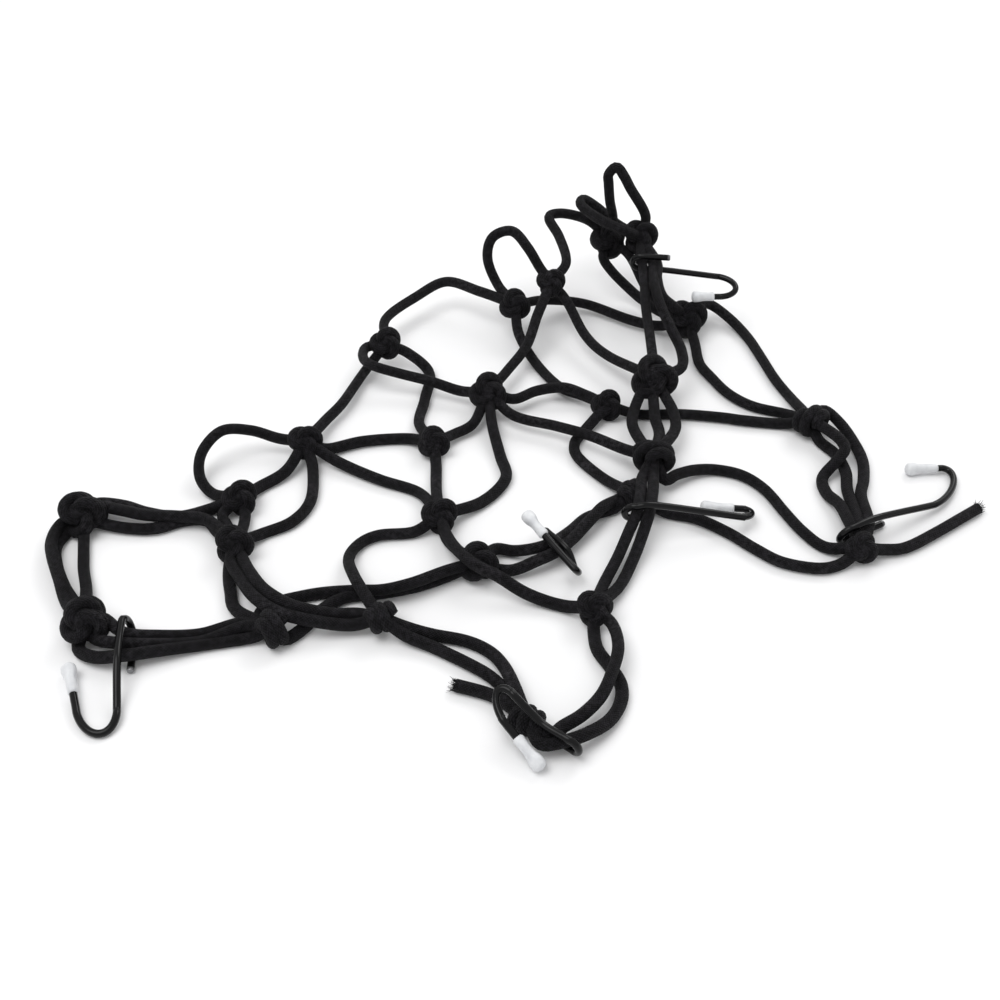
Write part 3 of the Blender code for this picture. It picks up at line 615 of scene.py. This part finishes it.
def makeKnots(material):
    grids = []
    radius = knotForm["radius"]
    sides = knotForm["sides"]
    for number, (name, (x, y, z, across)) in enumerate(knots.items()):
        centre = np.array((x, y, z), float)
        if name in coiledKnots:
            path = coiledKnot(across, *coiledKnots[name]) + centre
            grid = floorClamped(sweep(path, radius, sides, reference=unit(path - centre)))
            grids.append((grid, cordUV(path, radius, sides, number), False))
            continue
        lobe, lean, beside = roundKnots[name]
        path, reference = lobedKnot(across, lobe, lean)
        normal = turned(np.array(((0.0, 0.0, 1.0),)), lobe, lean)[0]
        for i in range(beside):
            shift = normal * radius * knotForm["besideShift"] * (i - (beside - 1) / 2)
            grid = sweep(path + centre + shift, radius, sides, True, reference)
            grids.append((floorClamped(grid), cordUV(path, radius, sides, number), True))
        core, coreRadius = knotCore(centre, normal, across, beside)
        grid = floorClamped(sweep(core, coreRadius, sides))
        grids.append((grid, cordUV(core, radius, sides, number), False))
    piece = buildPiece("netKnots", grids, material)
    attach(piece, "root")
    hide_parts("net")
    print("knots:", len(knots), "with", len(piece.data.polygons), "faces")


fray = {"count": 90, "length": 2.4, "radius": 0.16, "spread": 0.55, "scatter": 0.25, "steps": 6, "sides": 3,
        "taper": 0.35, "rootDepth": 0.4, "rootShare": 0.9, "shortest": 0.3, "innermost": 0.3, "inward": -0.2,
        "seed": 9}


def makeFray(material):
    # Loose yarn ends at both cuts: thin tapering threads that fan out from the cord's face, each at its
    # root plus its length times (ahead * s + bend * s squared).
    rng = np.random.default_rng(fray["seed"])
    grids = []
    for strand in strands:
        if strand[1]:
            continue
        path = strandPath(*strand)
        end, ahead = path[-1], unit(path[-1] - path[-4])
        side = unit(np.cross(ahead, up))
        above = np.cross(side, ahead)
        for _ in range(fray["count"]):
            a = rng.uniform(0, 2 * math.pi)
            r = cord["radius"] * math.sqrt(rng.uniform(fray["innermost"], 1.0))
            out = side * math.cos(a) + above * math.sin(a)
            length = fray["length"] * rng.uniform(fray["shortest"], 1.0)
            s = np.linspace(0, 1, fray["steps"])[:, None]
            bend = out * rng.uniform(fray["inward"], 1) * fray["spread"] + rng.normal(0, fray["scatter"], 3)
            root = end - ahead * fray["rootDepth"] + out * r * fray["rootShare"]
            thread = root + (ahead * s + bend * s**2) * length
            thread[:, 2] = np.maximum(thread[:, 2], fray["radius"])
            radius = fray["radius"] * np.linspace(1, fray["taper"], fray["steps"])
            grids.append((sweep(thread, radius, fray["sides"]), cordUV(thread, 1.0, fray["sides"]), False))
    piece = buildPiece("cutEnds", grids, material)
    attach(piece, "root")
    print("loose yarns:", len(grids))


wire = {"radius": 1.35, "sides": 20, "step": 0.6, "eyeClearance": 0.55, "eyeInset": 2.0, "shankStart": 1.0,
        "stubOffset": 2.8, "bendSteps": 10, "wrapSteps": 7, "coreHeight": 2.2, "cutShare": 0.82,
        "sharpAngle": 60}


def hookPath(eye, grip, over, stubSide, stub, bendStart, bendMiddle, bendEnd, tip):
    # The wire's middle line: its end beside the cord, half a turn round the cord, the shank, half an
    # ellipse as the bend, and the straight leg to the tip.
    eye, start, apex, end, tip = (np.array(p, float) for p in (eye, bendStart, bendMiddle, bendEnd, tip))
    lift = wire["coreHeight"] + wire["eyeClearance"] + wire["radius"]
    ahead = unit((start - eye) * (1, 1, 0))
    side = np.cross(up, ahead) * stubSide
    first = eye + ahead * (grip / 2 + stub) - up * lift * over + side * wire["stubOffset"]
    t = np.linspace(0, math.pi, wire["wrapSteps"])[:, None]
    wrap = (eye - ahead * (grip / 2 - wire["eyeInset"] + lift * np.sin(t)) - up * lift * over * np.cos(t)
            + side * wire["stubOffset"] * (1 - t / math.pi))
    shank = eye + ahead * (grip / 2 + wire["shankStart"]) + up * lift * over
    t = np.linspace(0, math.pi, wire["bendSteps"] + 1)[:, None]
    middle = (start + end) / 2
    bend = middle + (start - middle) * np.cos(t) + (apex - middle) * np.sin(t)
    return np.vstack([first, wrap, shank, bend, tip])


def makeHooks(material):
    for number, hook in enumerate(hooks, start=1):
        path = smoothPath(hookPath(*hook[:-1]), wire["step"])
        # The cut end is slightly rounded over, as sheared wire is.
        radius = np.full(len(path), wire["radius"])
        radius[0] *= wire["cutShare"]
        grid = sweep(path, radius, wire["sides"])
        uv = cordUV(path, wire["radius"], wire["sides"])
        piece = buildPiece("hookWire%d" % number, [(grid, uv, False)], material, wire["sharpAngle"])
        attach(piece, "root")
        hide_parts("hook_%d" % number)
    print("hooks:", len(hooks))


# Starts and lengths of the cap's parts are shares of its length, from the mouth, and its twists and
# waves are in radians over that length.
cap = {"sides": 28, "steps": 40, "mouth": 1.95, "waist": 1.85, "bulb": 2.55, "pastTip": 1.2,
       "tipRadius": 0.02, "sleeveLength": 0.7, "swellStart": 0.45, "swellLength": 0.35, "roundStart": 0.86,
       "lipLength": 0.03, "lipShare": 0.75, "dent": 0.048, "dentTwist": 3, "dentWaves": 9,
       "crease": 0.5, "creaseTwist": 5, "girth": 2.0, "sharpAngle": 70, "seed": 21}


def capRadius(s):
    # From the mouth (0) to the tip (1): a straight sleeve that swells into a bulb and closes round.
    narrow = np.sin(np.pi * np.clip(s / cap["sleeveLength"], 0, 1))
    sleeve = cap["mouth"] + (cap["waist"] - cap["mouth"]) * narrow
    swell = 0.5 - 0.5 * np.cos(np.pi * np.clip((s - cap["swellStart"]) / cap["swellLength"], 0, 1))
    closing = np.clip((s - cap["roundStart"]) / (1 - cap["roundStart"]), 0, 1)
    rim = np.sqrt(np.clip(1 - closing**2, 0, 1))
    lip = np.clip(s / cap["lipLength"], cap["lipShare"], 1)
    return (sleeve + (cap["bulb"] - cap["mouth"]) * swell) * rim * lip


def makeCaps(material):
    rng = np.random.default_rng(cap["seed"])
    for number, hook in enumerate(hooks, start=1):
        end, tip, length = np.array(hook[-3], float), np.array(hook[-2], float), hook[-1]
        ahead = unit(tip - end)
        s = np.linspace(0, 1, cap["steps"])
        path = tip + ahead * (s * (length + cap["pastTip"]) - length)[:, None]
        radius = np.maximum(capRadius(s), cap["tipRadius"])
        grid = sweep(path, radius, cap["sides"], reference=unit(np.cross(ahead, up)))
        # Pinched plastic: two slow dents round it that come and go along it, and three slanted creases.
        a = 2 * math.pi * np.arange(cap["sides"])[None, :] / cap["sides"]
        p = rng.uniform(0, 2 * math.pi, 3)
        t = s[:, None]
        dent = np.sin(2 * a + p[0] + t * cap["dentTwist"]) * np.sin(t * cap["dentWaves"] + p[1])
        dent = dent + cap["crease"] * np.sin(3 * a + p[2] - t * cap["creaseTwist"])
        grid += (grid - path[:, None]) * (cap["dent"] * dent)[..., None]
        uv = cordUV(path, cap["girth"], cap["sides"])
        piece = buildPiece("tipCap%d" % number, [(grid, uv, False)], material, cap["sharpAngle"])
        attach(piece, "root")
        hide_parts("cap_%d" % number)
    print("caps:", len(hooks))


# In metres. The surface is a little below the net, so that their faces don't fight.
floor = {"size": 6.0, "level": -0.0001, "color": (0.86, 0.86, 0.865, 1), "lighter": (0.88, 0.88, 0.885, 1),
         "grainScale": 12.0, "rough": 0.9, "specular": 0.2}


def makeFloor():
    material, tree, shader = startMaterial("paleSurface")
    grain = noise(tree, objectPlace(tree), floor["grainScale"], 2.0)
    setShader(tree, shader, {
        "Base Color": mixColor(tree, grain, floor["color"], floor["lighter"]),
        "Roughness": floor["rough"],
        "Specular IOR Level": floor["specular"],
    })
    half, z = floor["size"] / 2, floor["level"]
    corners = [(-half, -half, z), (half, -half, z), (half, half, z), (-half, half, z)]
    mesh = bpy.data.meshes.new("surface")
    mesh.from_pydata(corners, [], [(0, 1, 2, 3)])
    piece = bpy.data.objects.new("surface", mesh)
    piece.data.materials.append(material)
    bpy.context.scene.collection.objects.link(piece)
    print("surface laid")


# Places and sizes in metres, power in watts.
studio = {"world": 0.75,
          "lights": {"keyLight": ((-0.5, -0.2, 1.3), 1.0, 9.0), "backLight": ((0.6, 0.9, 1.0), 0.8, 5.0)}}


def addLight(name, place, size, power):
    # A round soft light that faces the middle of the net.
    light = bpy.data.lights.new(name, "AREA")
    light.shape = "DISK"
    light.size = size
    light.energy = power
    item = bpy.data.objects.new(name, light)
    bpy.context.scene.collection.objects.link(item)
    item.location = place
    x, y, z = place
    item.rotation_euler = (math.atan2(math.hypot(x, y), z), 0, math.atan2(-y, -x) - math.pi / 2)


# The camera: its place, its tilt in degrees from straight down, its focal length as a share of the
# picture's width, and the sensor's width in millimetres.
view = {"place": (-0.008, -0.408, 0.3507), "tilt": 48.0, "focal": 1.328, "sensor": 36.0, "nearest": 0.01}


def makeStudio():
    world = bpy.data.worlds.new("studio")
    world.use_nodes = True
    background = world.node_tree.nodes["Background"]
    background.inputs["Color"].default_value = (1, 1, 1, 1)
    background.inputs["Strength"].default_value = studio["world"]
    bpy.context.scene.world = world
    for name, (place, size, power) in studio["lights"].items():
        addLight(name, place, size, power)
    camera = bpy.data.cameras.new("photoView")
    camera.sensor_width = view["sensor"]
    camera.lens = view["focal"] * view["sensor"]
    camera.clip_start = view["nearest"]
    item = bpy.data.objects.new("photoView", camera)
    item.location = view["place"]
    item.rotation_euler = (math.radians(view["tilt"]), 0, 0)
    bpy.context.scene.collection.objects.link(item)
    bpy.context.scene.camera = item
    bpy.context.scene.view_settings.view_transform = "Standard"
    print("studio ready")


cordMaterial = makeCordMaterial()
wireMaterial = makeWireMaterial()
capMaterial = makeCapMaterial()
print("materials made")
makeStrands(cordMaterial)
makeKnots(cordMaterial)
makeFray(cordMaterial)
makeHooks(wireMaterial)
makeCaps(capMaterial)
makeFloor()
makeStudio()
